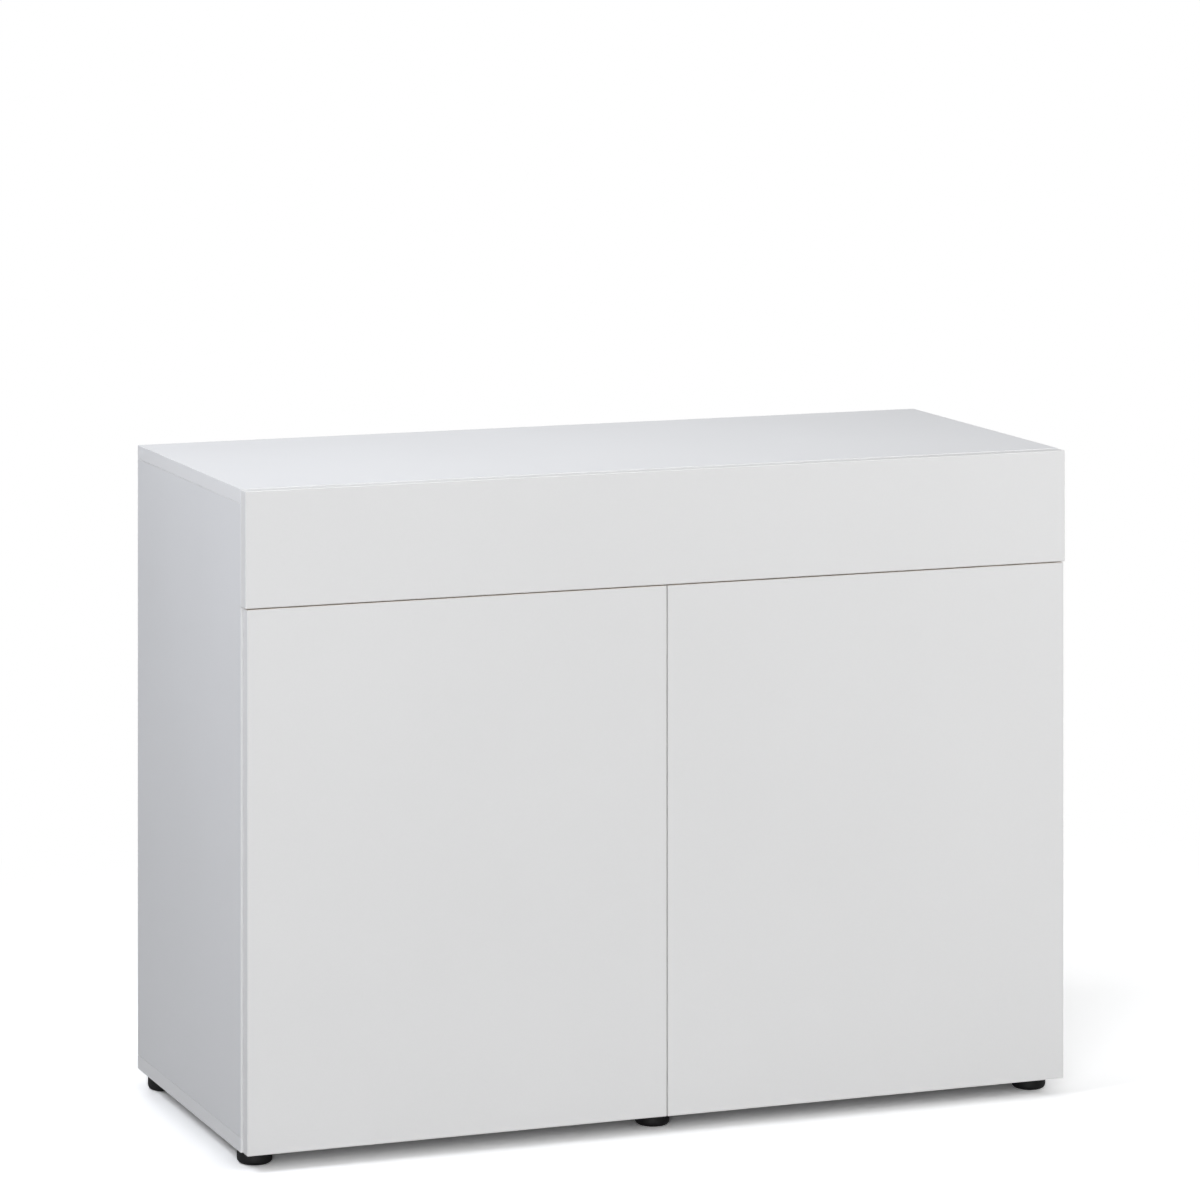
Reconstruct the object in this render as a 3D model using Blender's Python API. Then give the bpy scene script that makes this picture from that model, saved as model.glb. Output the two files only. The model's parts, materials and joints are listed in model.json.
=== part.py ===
"""Aquarium stand cabinet: a two-door base cabinet with a fixed fascia, on six levelling feet.

Drawn in millimetres, built in metres, +Z up. The origin is on the floor, under the middle of
the footprint. The door fronts face -Y, the back panels are on the +Y side, left is -X.
"""

import math

import bmesh
import bpy
from mathutils import Matrix, Vector

for old in list(bpy.data.objects):
    bpy.data.objects.remove(old, do_unlink=True)

MM = 0.001
SIDES = (("left", -1), ("right", 1))  # name, and sign along x
ROWS = ("front", "rear")

# ---------------------------------------------------------------- sizes, in millimetres
WIDTH = 1010.0
DEPTH = 410.0  # door fronts to the rear edge of the sides
BOARD = 16.0  # board thickness
FOOT_H = 19.0  # floor to the underside of the bottom board
CARCASS_H = 736.0
JOINT = 0.2  # hairline between two boards that are fixed together

DOOR_GAP = 2.0  # door's inner face to the carcass
DOOR_INSET = 2.0  # door's outer edge back from the side panel's outer face
DOOR_H = 604.4
DOOR_MEET = 1.2  # gap between the two doors
DOOR_CHAMFER = 1.0
FASCIA_T = BOARD + DOOR_GAP - JOINT
FASCIA_H = 129.9
FASCIA_GAP = 1.2  # gap between the fascia and the doors

HALF = WIDTH / 2
FRONT = -DEPTH / 2  # plane of the door fronts
CARCASS_FRONT = FRONT + BOARD + DOOR_GAP
REAR = DEPTH / 2
BOTTOM_TOP = FOOT_H + BOARD
TOP = FOOT_H + CARCASS_H
TOP_UNDER = TOP - BOARD
DOOR_TOP = FOOT_H + DOOR_H
FASCIA_BOTTOM = DOOR_TOP + FASCIA_GAP
RAIL_BOTTOM = 611.0
SIDE_Z = (BOTTOM_TOP + JOINT, TOP_UNDER - JOINT)

BACK_T = 8.0
BACK_INSET = 8.0  # keeps the cable outlets inside the depth
BACK_FACE = REAR - BACK_INSET  # rear face of the back panels

COMPARTMENT_IN = BOARD / 2 + JOINT  # a compartment's limit at the partition
COMPARTMENT_OUT = HALF - BOARD - JOINT  # and at the side panel


# ---------------------------------------------------------------- materials
def material(name, colour, roughness, metallic=0.0):
    made = bpy.data.materials.new(name)
    made.use_nodes = True
    shader = made.node_tree.nodes["Principled BSDF"]
    shader.inputs["Base Color"].default_value = (*colour, 1.0)
    shader.inputs["Roughness"].default_value = roughness
    shader.inputs["Metallic"].default_value = metallic
    made.diffuse_color = (*colour, 1.0)
    return made


WHITE_FRONT = material("white_front", colour=(0.80, 0.80, 0.80), roughness=0.35)
WHITE_BOARD = material("white_board", colour=(0.76, 0.77, 0.79), roughness=0.42)
WHITE_BACK = material("white_back", colour=(0.72, 0.72, 0.71), roughness=0.6)
BLACK_PLASTIC = material("black_plastic", colour=(0.012, 0.012, 0.013), roughness=0.55)
ZINC = material("zinc_steel", colour=(0.62, 0.63, 0.64), roughness=0.3, metallic=1.0)
NICKEL = material("nickel_steel", colour=(0.66, 0.65, 0.62), roughness=0.22, metallic=1.0)
GREY_PLASTIC = material("grey_plastic", colour=(0.46, 0.47, 0.48), roughness=0.5)
CLEAR_SOFT = material("clear_soft_plastic", colour=(0.75, 0.76, 0.76), roughness=0.3)


# ---------------------------------------------------------------- helpers
def empty(name, location):
    made = bpy.data.objects.new(name, None)
    made.empty_display_size = 0.05
    made.location = Vector(location) * MM
    bpy.context.scene.collection.objects.link(made)
    return made


def place(name, bm, origin, colour=None, parent=None, smooth=False):
    """Turns a bmesh drawn in world millimetres into an object whose origin is at origin."""
    bmesh.ops.recalc_face_normals(bm, faces=bm.faces)
    bmesh.ops.translate(bm, verts=bm.verts, vec=-Vector(origin))
    bmesh.ops.scale(bm, verts=bm.verts, vec=(MM, MM, MM))
    mesh = bpy.data.meshes.new(name)
    bm.to_mesh(mesh)
    bm.free()
    made = bpy.data.objects.new(name, mesh)
    bpy.context.scene.collection.objects.link(made)
    made.location = Vector(origin) * MM
    if parent:
        made.parent = parent
        made.location -= parent.location
    if colour:
        mesh.materials.append(colour)
    if smooth:
        mesh.shade_smooth()
        mesh.set_sharp_from_angle(angle=math.radians(35))
    return made


def box(*spans):
    """A box from its x, y and z spans; the ends of a span may come in either order."""
    bm = bmesh.new()
    bmesh.ops.create_cube(bm, size=1.0)
    bmesh.ops.scale(bm, verts=bm.verts, vec=[abs(end - start) for start, end in spans])
    middle = Vector([(start + end) / 2 for start, end in spans])
    bmesh.ops.translate(bm, verts=bm.verts, vec=middle)
    return bm, middle


def board(name, x, y, z, colour=WHITE_BOARD):
    bm, middle = box(x, y, z)
    return place(name, bm, middle, colour)


def prism(points, low, high, axis="Z"):
    """A closed outline drawn in two axes and extruded along the third."""
    order = {
        "X": lambda first, second, along: (along, first, second),
        "Y": lambda first, second, along: (first, along, second),
        "Z": lambda first, second, along: (first, second, along),
    }[axis]
    bm = bmesh.new()
    face = bm.faces.new([bm.verts.new(order(*point, low)) for point in points])
    grown = bmesh.ops.extrude_face_region(bm, geom=[face])["geom"]
    moved = [part for part in grown if isinstance(part, bmesh.types.BMVert)]
    bmesh.ops.translate(bm, verts=moved, vec=order(0, 0, high - low))
    return bm


def turned(profile, steps, axis, centre, ring=False):
    """A turned shape from (radius, distance along the axis) pairs.

    A solid one starts and ends on the axis, a ring closes on itself.
    """
    bm = bmesh.new()
    angles = [2 * math.pi * i / steps for i in range(steps)]
    rows = []
    for radius, along in profile:
        if radius == 0:
            rows.append([bm.verts.new((0, 0, along))])
        else:
            rows.append([
                bm.verts.new((radius * math.cos(angle), radius * math.sin(angle), along))
                for angle in angles
            ])
    following = rows[1:] + rows[:1] if ring else rows[1:]
    for low, high in zip(rows, following):
        for i in range(steps):
            j = (i + 1) % steps
            corners = [low[i % len(low)], low[j % len(low)], high[j % len(high)], high[i % len(high)]]
            unique = list(dict.fromkeys(corners))
            if len(unique) > 2:  # two rows that are both on the axis span no face
                bm.faces.new(unique)
    turn = {
        "X": Matrix.Rotation(math.radians(90), 4, "Y"),
        "Y": Matrix.Rotation(math.radians(-90), 4, "X"),
        "Z": Matrix(),
    }[axis]
    bmesh.ops.transform(bm, matrix=turn, verts=bm.verts)
    bmesh.ops.translate(bm, verts=bm.verts, vec=centre)
    return bm


def rod(radius, low, high, steps, axis, centre):
    return turned([(0, low), (radius, low), (radius, high), (0, high)], steps, axis, centre)


def combine(target, bm, operation):
    """Puts a boolean with a hidden helper shape on a part."""
    helper = place(f"{target.name}_{operation.lower()}", bm, (0, 0, 0), parent=target.parent)
    helper.hide_render = True
    helper.display_type = "WIRE"
    modifier = target.modifiers.new(operation.title(), "BOOLEAN")
    modifier.operation = operation
    modifier.solver = "EXACT"
    modifier.object = helper


def cut(target, bm):
    combine(target, bm, "DIFFERENCE")


def join(target, bm):
    combine(target, bm, "UNION")


# Doors and hinges are drawn from the carcass's front corner on their side:
# "inward" runs from the side panel's outer face to the middle, "back" from the carcass front to +Y.
def x_of(sign, inward):
    return sign * (HALF - inward)


def y_of(back):
    return CARCASS_FRONT + back


def flat(sign, points):
    return [(x_of(sign, inward), y_of(back)) for inward, back in points]


# ---------------------------------------------------------------- carcass
OUTLET_X, OUTLET_Z, OUTLET_R = 380.0, 650.0, 30.0
# (radius, distance behind the back panel's rear face): a collar with a flange on that face
GROMMET_PROFILE = [
    (26.0, -11.0), (29.0, -11.0), (29.6, -10.2), (29.6, 0.2), (34.0, 0.2),
    (34.0, 1.4), (33.2, 2.2), (26.8, 2.2), (26.0, 1.4),
]


def build_carcass():
    """Builds the boards and returns those that get holes later."""
    full_x, full_y = (-HALF, HALF), (CARCASS_FRONT, REAR)
    bottom = board("bottom_board", full_x, full_y, (FOOT_H, BOTTOM_TOP))
    board("top_board", full_x, full_y, (TOP_UNDER, TOP))
    board("side_panel_left", (-HALF, -HALF + BOARD), full_y, SIDE_Z)
    side_right = board("side_panel_right", (HALF - BOARD, HALF), full_y, SIDE_Z)
    partition = board(
        "centre_partition", (-BOARD / 2, BOARD / 2), (CARCASS_FRONT, BACK_FACE), SIDE_Z
    )
    fascia_z = (FASCIA_BOTTOM, FASCIA_BOTTOM + FASCIA_H)
    board("fascia_panel", full_x, (FRONT, FRONT + FASCIA_T), fascia_z, WHITE_FRONT)
    return bottom, side_right, partition


def build_rail_and_back(side, sign):
    """The front rail, and the back panel with its cable outlet."""
    x = (sign * COMPARTMENT_IN, sign * COMPARTMENT_OUT)
    rail_y = (CARCASS_FRONT, CARCASS_FRONT + BOARD)
    board(f"front_rail_{side}", x, rail_y, (RAIL_BOTTOM, TOP_UNDER - JOINT))
    back = board(f"back_panel_{side}", x, (BACK_FACE - BACK_T, BACK_FACE), SIDE_Z, WHITE_BACK)
    outlet = (sign * OUTLET_X, BACK_FACE, OUTLET_Z)
    cut(back, rod(OUTLET_R, -20, 20, 48, "Y", outlet))
    grommet = turned(GROMMET_PROFILE, 48, "Y", outlet, ring=True)
    place(f"cable_grommet_{side}", grommet, outlet, BLACK_PLASTIC, smooth=True)


# ---------------------------------------------------------------- feet
FOOT_INSET = 25.0  # outer feet's axes in from the cabinet's sides
FOOT_X = (-HALF + FOOT_INSET, 0.0, HALF - FOOT_INSET)
FOOT_Y = (-160.0, 178.0)
FOOT_R = 20.0
PAD_H = FOOT_H - 0.5  # the pad sits just under the bottom board
STEM_R = 4.0
STEM_TOP = 33.6
SOCKET_HOLE_R = 8.0
# (radius, height): a round pad with a rounded floor edge, and the stem above it
FOOT_PROFILE = [
    (0, 0), (15.0, 0), (16.6, 0.35), (18.2, 1.3), (19.35, 2.75), (19.9, 4.5), (FOOT_R, 6.0),
    (FOOT_R, PAD_H - 1.0), (19.6, PAD_H - 0.3), (18.8, PAD_H),
    (STEM_R, PAD_H), (STEM_R, STEM_TOP - 0.8), (3.2, STEM_TOP), (0, STEM_TOP),
]
# (radius, height): a plain sleeve in the bottom board
SOCKET_PROFILE = [
    (4.4, FOOT_H + 0.2), (7.7, FOOT_H + 0.2), (7.7, BOTTOM_TOP - 0.4), (4.4, BOTTOM_TOP - 0.4),
]


def build_foot(where, x, y, bottom_board):
    floor = (x, y, 0)
    axis = empty(f"foot_{where}_axis", floor)
    foot = turned(FOOT_PROFILE, 40, "Z", floor)
    place(f"foot_{where}", foot, floor, BLACK_PLASTIC, axis, smooth=True)
    socket = turned(SOCKET_PROFILE, 24, "Z", floor, ring=True)
    place(f"foot_socket_{where}", socket, (x, y, FOOT_H), ZINC, smooth=True)
    cut(bottom_board, rod(SOCKET_HOLE_R, FOOT_H - 5, BOTTOM_TOP + 5, 24, "Z", floor))


# ---------------------------------------------------------------- shelf, right-hand compartment
SHELF_BOTTOM = 330.0
SHELF_GAP = 2.4  # clearance at each end
SHELF_Y = (-165.0, 186.0)
SHELF_PIN_R = 2.5
SHELF_PIN_Z = SHELF_BOTTOM - 0.3 - SHELF_PIN_R
SHELF_PIN_Y = (-120.0, 140.0)
SHELF_HOLE_R = 2.8
SHELF_HOLE_STEPS = range(-3, 5)  # holes below and above the pins, so the shelf can be moved
PITCH = 32.0
# (radius, distance out of the panel's face): a pin with a collar
SHELF_PIN_PROFILE = [
    (0, -9.5), (SHELF_PIN_R, -9.5), (SHELF_PIN_R, 0.3), (3.6, 0.3),
    (3.6, 1.8), (SHELF_PIN_R, 1.8), (SHELF_PIN_R, 8.5), (0, 8.5),
]


def build_shelf():
    x = (BOARD / 2 + SHELF_GAP, HALF - BOARD - SHELF_GAP)
    board("shelf", x, SHELF_Y, (SHELF_BOTTOM, SHELF_BOTTOM + BOARD))


def build_shelf_pins(where, panel, face, out):
    """Drills a panel and fits its two pins; out is the sign of x away from its face."""
    profile = [(radius, along * out) for radius, along in SHELF_PIN_PROFILE]
    for row, y in zip(ROWS, SHELF_PIN_Y):
        for step in SHELF_HOLE_STEPS:
            hole = (face, y, SHELF_PIN_Z + PITCH * step)
            cut(panel, rod(SHELF_HOLE_R, -10.0 * out, 6.0 * out, 16, "X", hole))
        seat = (face, y, SHELF_PIN_Z)
        pin = turned(profile, 16, "X", seat)
        place(f"shelf_pin_{where}_{row}", pin, seat, NICKEL, smooth=True)


# ---------------------------------------------------------------- hinges: single-joint cup hinges
HINGE_Z = (("lower", 110.0), ("upper", 532.0))
PIVOT_IN, PIVOT_BACK = 8.4, -11.3
PIVOT_PIN_R, PIVOT_HOLE_R = 1.0, 1.2
CUP_R = 17.5
CUP_IN = DOOR_INSET + 3.0 + CUP_R  # 3 mm of door left outside the cup
CUP_BOTTOM = -14.7
CUP_CLEARANCE = 0.3  # cup to its pocket in the door
EAR_IN, EAR_Z, EAR_R = 6.0, 25.0, 6.0  # rounded screw ears of the flange, from the cup's centre
EAR_HOLE_R = 1.9

ARM_HALF, CHANNEL_HALF = 4.5, 6.5  # half heights
BARREL_R = 2.1  # end of the arm round the pin
# (inward, back) from the pivot
HOOK_OUTLINE = [
    (0.0, -BARREL_R), (12.6, -2.1), (13.8, -0.9), (13.8, 22.0), (10.8, 22.0),
    (10.8, 5.0), (10.2, 1.6), (9.4, 0.5), (3.0, 1.5), (0.0, BARREL_R),
]
# (inward, back)
CHANNEL_OUTLINE = [
    (18.6, 8.0), (22.2, 6.0), (24.6, 8.5), (26.2, 14.0), (26.2, 62.0), (24.2, 66.0), (18.6, 66.0),
]

PLATE_BACK = 37.0  # middle of the mounting plate's cross
PLATE_IN = (BOARD + 0.2, BOARD + 2.3)
PLATE_SCREW_Z = 16.0
# (back, up from the hinge's height): upper half of a cross, mirrored for the lower half
PLATE_UPPER = [
    (12.0, 7.2), (28.0, 7.2), (31.0, 11.0), (31.0, 22.0), (33.5, 25.5),
    (40.5, 25.5), (43.0, 22.0), (43.0, 11.0), (46.0, 7.2), (68.0, 7.2),
]
PLATE_OUTLINE = PLATE_UPPER + [(back, -up) for back, up in reversed(PLATE_UPPER)]


def arc(centre_in, centre_z, radius, start, end, steps):
    """Points on an arc, with its angles in degrees."""
    angles = [math.radians(start + (end - start) * i / steps) for i in range(steps + 1)]
    return [
        (centre_in + radius * math.cos(angle), centre_z + radius * math.sin(angle))
        for angle in angles
    ]


# (inward, up) from the cup's centre
FLANGE_OUTLINE = [
    *arc(EAR_IN, EAR_Z, EAR_R, 20, 160, 6),
    (-7.0, 20.0), (-16.0, 13.0), (-16.0, -13.0), (-7.0, -20.0),
    *arc(EAR_IN, -EAR_Z, EAR_R, 200, 340, 6),
    (18.6, -12.0), (18.6, 12.0),
]


def pivot_rod(sign, z, radius, half, steps=16):
    """An upright rod on the hinge's pivot line."""
    return rod(radius, -half, half, steps, "Z", (x_of(sign, PIVOT_IN), y_of(PIVOT_BACK), z))


def build_cup(name, sign, z, pivot):
    """A round body under a flange on the door's inner face, with a slot for the arm."""
    cup_x = x_of(sign, CUP_IN)
    body = rod(CUP_R, CUP_BOTTOM, -DOOR_GAP + 0.6, 48, "Y", (cup_x, y_of(0), z))
    cup = place(name, body, (cup_x, y_of(-DOOR_GAP), z), NICKEL, pivot, smooth=True)
    flange = [(x_of(sign, CUP_IN + inward), z + up) for inward, up in FLANGE_OUTLINE]
    join(cup, prism(flange, y_of(-DOOR_GAP + 0.2), y_of(-DOOR_GAP + 1.2), "Y"))
    # (inward span, back span, half height): the slot, and its mouth on the pivot's side
    for inward, back, half in (
        ((6.0, 30.0), (-13.7, 8.0), 5.0),
        ((-4.0, 12.0), (-DOOR_GAP - 1.9, 9.0), 5.6),
    ):
        x = [x_of(sign, edge) for edge in inward]
        y = [y_of(edge) for edge in back]
        cut(cup, box(x, y, (z - half, z + half))[0])
    cut(cup, pivot_rod(sign, z, PIVOT_HOLE_R, 7.7))
    for up in (-EAR_Z, EAR_Z):
        screw = (x_of(sign, CUP_IN + EAR_IN), y_of(-DOOR_GAP), z + up)
        cut(cup, rod(EAR_HOLE_R, -4.0, 4.0, 16, "Y", screw))


def build_arm(name, sign, z, origin):
    """A hook round the cup's rim to the pin, on a channel that runs back along the side."""
    hook = [(PIVOT_IN + inward, PIVOT_BACK + back) for inward, back in HOOK_OUTLINE]
    arm = place(name, prism(flat(sign, hook), z - ARM_HALF, z + ARM_HALF), origin, NICKEL)
    join(arm, pivot_rod(sign, z, BARREL_R, ARM_HALF, steps=24))
    join(arm, prism(flat(sign, CHANNEL_OUTLINE), z - CHANNEL_HALF, z + CHANNEL_HALF))
    cut(arm, pivot_rod(sign, z, PIVOT_HOLE_R, 8.0))


def build_plate(name, sign, z, origin):
    """The cross-shaped mounting plate on the side panel's inner face."""
    outline = [(y_of(back), z + up) for back, up in PLATE_OUTLINE]
    low, high = sorted(x_of(sign, inward) for inward in PLATE_IN)
    plate = place(name, prism(outline, low, high, "X"), origin, ZINC)
    for up in (-PLATE_SCREW_Z, PLATE_SCREW_Z):
        screw = (x_of(sign, BOARD + 1.2), y_of(PLATE_BACK), z + up)
        cut(plate, rod(2.6, -5.0, 5.0, 16, "X", screw))


def build_hinge(where, sign, z, door, pivot):
    pocket = (x_of(sign, CUP_IN), y_of(0), z)
    cut(door, rod(CUP_R + CUP_CLEARANCE, CUP_BOTTOM - CUP_CLEARANCE, 10.0, 48, "Y", pocket))
    build_cup(f"hinge_cup_{where}", sign, z, pivot)
    mount = (x_of(sign, BOARD), y_of(PLATE_BACK), z)
    build_arm(f"hinge_arm_{where}", sign, z, mount)
    pin_centre = (x_of(sign, PIVOT_IN), y_of(PIVOT_BACK), z)
    pin = pivot_rod(sign, z, PIVOT_PIN_R, 7.2)
    place(f"hinge_pin_{where}", pin, pin_centre, ZINC, smooth=True)
    build_plate(f"mounting_plate_{where}", sign, z, mount)


# ---------------------------------------------------------------- doors
BUFFER_X = 42.0
BUFFER_Z = (("lower", 27.0), ("upper", 617.0))
# (radius, back)
BUFFER_PROFILE = [(0, -1.8), (4.0, -1.8), (4.0, -1.0), (3.0, -0.5), (0, -0.3)]


def build_door(side, sign):
    """A slab whose inner hinge-side edge is eased to clear the side panel as it swings."""
    pivot_x, pivot_y = x_of(sign, PIVOT_IN), y_of(PIVOT_BACK)
    pivot = empty(f"door_{side}_axis", (pivot_x, pivot_y, 0))
    outer, inner = DOOR_INSET, HALF - DOOR_MEET / 2
    near, far = -DOOR_GAP, -DOOR_GAP - BOARD
    outline = [
        (outer, far), (inner, far), (inner, near),
        (outer + DOOR_CHAMFER, near), (outer, near - DOOR_CHAMFER),
    ]
    slab = prism(flat(sign, outline), FOOT_H, DOOR_TOP)
    door = place(f"door_{side}", slab, (pivot_x, pivot_y, FOOT_H), WHITE_FRONT, pivot)
    return door, pivot


def build_buffers(side, sign, pivot):
    for where, z in BUFFER_Z:
        x = sign * BUFFER_X
        buffer = turned(BUFFER_PROFILE, 24, "Y", (x, y_of(0), z))
        origin = (x, y_of(-DOOR_GAP), z)
        place(f"door_buffer_{side}_{where}", buffer, origin, CLEAR_SOFT, pivot, smooth=True)


# ---------------------------------------------------------------- touch latches
LATCH_X, LATCH_Z = 17.266, 572.0  # plunger's axis
# (out of the partition's face, up from the plunger's axis)
LATCH_SECTION = [
    (0.0, -14.5), (0.0, 14.5), (2.2, 14.5), (2.2, 8.2), (14.5, 8.2),
    (17.6, 5.0), (17.6, -5.0), (14.5, -8.2), (2.2, -8.2), (2.2, -14.5),
]
# (radius, back)
PLUNGER_PROFILE = [(0, -1.0), (3.4, -1.0), (4.2, -0.4), (4.5, 0.4), (4.5, 53.0), (0, 53.0)]
STRIKE_PROFILE = [(0, -1.8), (7.0, -1.8), (7.0, -1.5), (6.8, -1.3), (0, -1.3)]


def build_latch(side, sign, pivot):
    """A housing on the partition, a plunger that is pushed in, and a strike disc on the door."""
    housing_x = sign * (BOARD / 2 + JOINT)
    section = [(housing_x + sign * out, LATCH_Z + up) for out, up in LATCH_SECTION]
    housing = prism(section, y_of(0.5), y_of(72.0), "Y")
    body = place(f"latch_body_{side}", housing, (housing_x, y_of(36.0), LATCH_Z), GREY_PLASTIC)
    centre = (sign * LATCH_X, y_of(0), LATCH_Z)
    cut(body, rod(4.9, -6.0, 60.0, 24, "Y", centre))
    axis = empty(f"latch_{side}_axis", centre)
    plunger = turned(PLUNGER_PROFILE, 24, "Y", centre)
    place(f"latch_plunger_{side}", plunger, centre, BLACK_PLASTIC, axis, smooth=True)
    strike = turned(STRIKE_PROFILE, 32, "Y", centre)
    strike_origin = (sign * LATCH_X, y_of(-DOOR_GAP), LATCH_Z)
    place(f"strike_disc_{side}", strike, strike_origin, ZINC, pivot, smooth=True)


# ---------------------------------------------------------------- assembly
bottom_board, side_panel_right, centre_partition = build_carcass()
for row, y in zip(ROWS, FOOT_Y):
    for column, x in zip(("left", "middle", "right"), FOOT_X):
        build_foot(f"{row}_{column}", x, y, bottom_board)
build_shelf()
build_shelf_pins("partition", centre_partition, face=BOARD / 2, out=1)
build_shelf_pins("side", side_panel_right, face=HALF - BOARD, out=-1)
for side, sign in SIDES:
    build_rail_and_back(side, sign)
    door, pivot = build_door(side, sign)
    for level, z in HINGE_Z:
        build_hinge(f"{side}_{level}", sign, z, door, pivot)
    build_latch(side, sign, pivot)
    build_buffers(side, sign, pivot)
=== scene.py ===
"""Looks of the aquarium stand cabinet: materials, small fittings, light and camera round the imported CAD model."""

import json
import math

import bmesh
import bpy
from mathutils import Matrix, Vector


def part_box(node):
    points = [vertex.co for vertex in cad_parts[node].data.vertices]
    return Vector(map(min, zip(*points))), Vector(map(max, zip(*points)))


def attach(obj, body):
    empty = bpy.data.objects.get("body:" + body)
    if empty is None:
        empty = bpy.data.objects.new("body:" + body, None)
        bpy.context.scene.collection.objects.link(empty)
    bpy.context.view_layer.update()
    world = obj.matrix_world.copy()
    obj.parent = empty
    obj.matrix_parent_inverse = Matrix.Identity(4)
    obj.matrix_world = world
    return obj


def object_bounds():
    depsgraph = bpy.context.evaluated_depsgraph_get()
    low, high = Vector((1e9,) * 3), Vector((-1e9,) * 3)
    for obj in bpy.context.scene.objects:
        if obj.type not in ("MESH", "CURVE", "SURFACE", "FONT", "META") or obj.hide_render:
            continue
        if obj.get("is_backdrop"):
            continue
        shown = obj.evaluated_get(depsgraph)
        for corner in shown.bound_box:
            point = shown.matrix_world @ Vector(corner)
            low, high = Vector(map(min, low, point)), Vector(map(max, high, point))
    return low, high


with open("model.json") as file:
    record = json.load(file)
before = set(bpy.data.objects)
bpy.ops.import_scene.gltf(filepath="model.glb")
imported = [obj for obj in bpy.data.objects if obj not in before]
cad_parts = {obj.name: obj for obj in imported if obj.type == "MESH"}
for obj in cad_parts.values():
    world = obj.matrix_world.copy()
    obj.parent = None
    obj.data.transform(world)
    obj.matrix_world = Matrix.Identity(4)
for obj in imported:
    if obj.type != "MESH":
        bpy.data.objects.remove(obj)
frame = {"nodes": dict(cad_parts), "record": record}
CAD_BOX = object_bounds()
nodes = frame["nodes"]
MM = 0.001

# ------------------------------------------------------------------ node helpers


class Tree:
    """A short way to write a material's nodes."""

    def __init__(self, name):
        self.mat = bpy.data.materials.new(name)
        self.mat.use_nodes = True
        self.tree = self.mat.node_tree
        self.tree.nodes.clear()
        self.out = self.tree.nodes.new("ShaderNodeOutputMaterial")
        self.shader = self.tree.nodes.new("ShaderNodeBsdfPrincipled")
        self.tree.links.new(self.shader.outputs[0], self.out.inputs[0])
        coords = self.tree.nodes.new("ShaderNodeTexCoord")
        self.place = coords.outputs["Object"]

    def put(self, socket, value):
        if hasattr(value, "is_output"):
            self.tree.links.new(value, socket)
        elif hasattr(socket.default_value, "__len__") and not hasattr(value, "__len__"):
            socket.default_value = [value] * len(socket.default_value)
        elif hasattr(value, "__len__") and len(socket.default_value) == 4 and len(value) == 3:
            socket.default_value = (*value, 1.0)
        else:
            socket.default_value = value

    def node(self, kind, out=0, settings=None, **inputs):
        made = self.tree.nodes.new(kind)
        for key, value in (settings or {}).items():
            setattr(made, key, value)
        for key, value in inputs.items():
            if key.startswith("i") and key[1:].isdigit():
                socket = made.inputs[int(key[1:])]
            else:
                socket = made.inputs[key.replace("_", " ")]
            self.put(socket, value)
        return made.outputs[out]

    def math(self, op, a, b=0.0, c=0.0, clamp=False):
        return self.node("ShaderNodeMath", 0, {"operation": op, "use_clamp": clamp}, i0=a, i1=b, i2=c)

    def vec(self, op, a, b=(0, 0, 0), out=0):
        return self.node("ShaderNodeVectorMath", out, {"operation": op}, i0=a, i1=b)

    def noise(self, scale, detail=2.0, rough=0.5, vector=None, distortion=0.0):
        return self.node(
            "ShaderNodeTexNoise", 0, None, Vector=vector or self.place, Scale=scale, Detail=detail, Roughness=rough, Distortion=distortion
        )

    def cells(self, scale, vector=None, feature="F1", out=0, randomness=1.0):
        return self.node("ShaderNodeTexVoronoi", out, {"feature": feature}, Vector=vector or self.place, Scale=scale, Randomness=randomness)

    def ramp(self, fac, stops):
        made = self.tree.nodes.new("ShaderNodeValToRGB")
        self.put(made.inputs[0], fac)
        points = made.color_ramp.elements
        while len(points) < len(stops):
            points.new(0.5)
        for point, (at, colour) in zip(points, stops):
            point.position = at
            point.color = (*colour, 1.0) if hasattr(colour, "__len__") else (colour, colour, colour, 1.0)
        return made.outputs[0]

    def mix(self, fac, a, b, kind="MIX"):
        made = self.tree.nodes.new("ShaderNodeMix")
        made.data_type = "RGBA"
        made.blend_type = kind
        self.put(made.inputs[0], fac)
        self.put(made.inputs[6], a)
        self.put(made.inputs[7], b)
        return made.outputs[2]

    def span(self, value, a, b, c, d):
        return self.node("ShaderNodeMapRange", 0, None, i0=value, i1=a, i2=b, i3=c, i4=d)

    def bump(self, height, strength, distance, normal=None):
        made = self.tree.nodes.new("ShaderNodeBump")
        self.put(made.inputs["Height"], height)
        self.put(made.inputs["Strength"], strength)
        self.put(made.inputs["Distance"], distance)
        if normal is not None:
            self.put(made.inputs["Normal"], normal)
        return made.outputs[0]

    def stretched(self, scale):
        return self.node("ShaderNodeMapping", 0, None, Vector=self.place, Scale=scale)

    def finish(self, **inputs):
        for key, value in inputs.items():
            self.put(self.shader.inputs[key.replace("_", " ")], value)
        return self.mat


# ------------------------------------------------------------------ materials


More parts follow.
